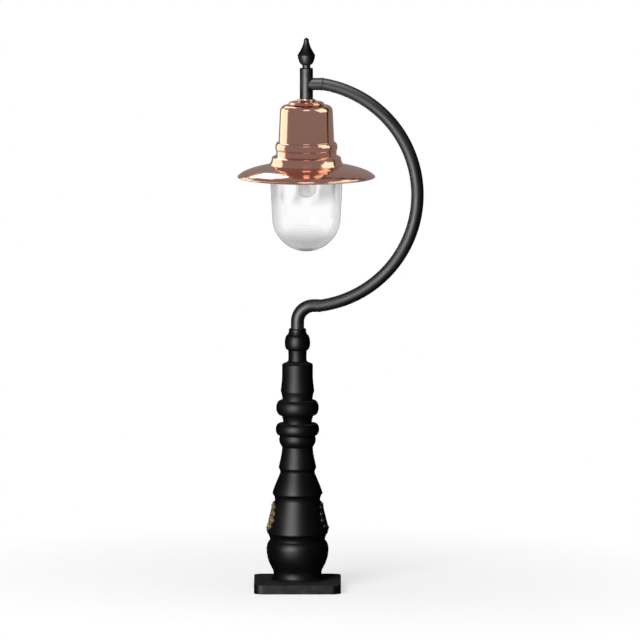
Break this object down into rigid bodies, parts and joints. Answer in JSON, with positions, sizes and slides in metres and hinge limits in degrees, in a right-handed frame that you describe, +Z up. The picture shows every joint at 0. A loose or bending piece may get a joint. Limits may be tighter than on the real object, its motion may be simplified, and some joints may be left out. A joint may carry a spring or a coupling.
{
  "type": "pedestal lantern",
  "caption": "Outdoor pedestal lantern: a turned cast pedestal with a swan-neck arm that hangs a copper shade and a clear glass bowl.",
  "frame": {"origin": "centre of the base plate's underside, at the centre of its four anchor holes", "axes": "+Z up the pedestal, +X the way the arm reaches out, +Y to the back, where the access door is"},
  "size_m": [0.5343, 0.3952, 1.5928],
  "materials": {
    "black_casting": "black satin paint on cast iron",
    "black_tube": "black satin paint on steel tube",
    "gilt": "gilt leaf ornament",
    "copper": "polished copper",
    "cast_alloy": "cast alloy, turned",
    "clear_glass": "clear",
    "bulb_glass": "clear",
    "nickel": "plated",
    "rubber": "matt",
    "flex": "heat-resistant sheath",
    "block_plastic": "moulded",
    "black_plastic": "moulded",
    "porcelain": "glazed porcelain",
    "brass": "turned",
    "zinc_steel": "zinc plated"
  },
  "bodies": {
    "pedestal": {"base_casting": "black_casting", "shaft": "black_casting", "neck_collar": "black_casting", "shaft_set_screws": "zinc_steel", "neck_clamp_screws": "zinc_steel", "left_leaf": "gilt", "right_leaf": "black_casting", "leaf_screws": "zinc_steel", "door_hinge_pin": "zinc_steel", "gear_plate": "zinc_steel", "gear_plate_screws": "zinc_steel", "terminal_block": "block_plastic", "earth_stud": "brass", "cable_gland": "black_plastic", "flex_lower": "flex"},
    "arm": {"elbow_tube": "black_tube", "arm_tube": "black_tube", "drop_tube": "black_tube", "finial": "black_tube", "drop_tube_bush": "zinc_steel", "flex_upper": "flex", "hanger_tube": "zinc_steel", "top_washer": "zinc_steel", "crown_cap": "copper", "shade": "copper", "crown_nut": "zinc_steel", "gallery": "cast_alloy", "gallery_nut": "zinc_steel", "lampholder_body": "porcelain", "lampholder_thread": "brass", "centre_contact": "brass", "lampholder_screws": "zinc_steel", "bowl_seal": "rubber"},
    "bowl": {"glass_bowl": "clear_glass"},
    "bulb": {"bulb_cap": "nickel", "bulb_glass": "bulb_glass", "bulb_stem": "bulb_glass"},
    "door": {"access_door": "black_casting"},
    "door_fastener": {"door_screw": "zinc_steel"}
  },
  "joints": [
    {"name": "neck_swivel", "type": "hinge", "parent": "pedestal", "child": "arm", "pos_m": [0, 0, 0.6629], "axis": [0, 0, 1], "range_deg": [-180, 180]},
    {"name": "bowl_unscrew", "type": "hinge", "parent": "arm", "child": "bowl", "pos_m": [0.02567, 0, 1.25015], "axis": [0, 0, 1], "range_deg": [-450, 0]},
    {"name": "bulb_unscrew", "type": "hinge", "parent": "arm", "child": "bulb", "pos_m": [0.02567, 0, 1.23715], "axis": [0, 0, 1], "range_deg": [-810, 0]},
    {"name": "door_swing", "type": "hinge", "parent": "pedestal", "child": "door", "pos_m": [0.036, 0.07299, 0.21036], "axis": [0, -0.239, 0.971], "range_deg": [-110, 0]},
    {"name": "door_screw_turn", "type": "hinge", "parent": "door", "child": "door_fastener", "pos_m": [-0.0225, 0.07301, 0.2112], "axis": [-0.286, 0.928, 0.239], "range_deg": [0, 1080]}
  ]
}
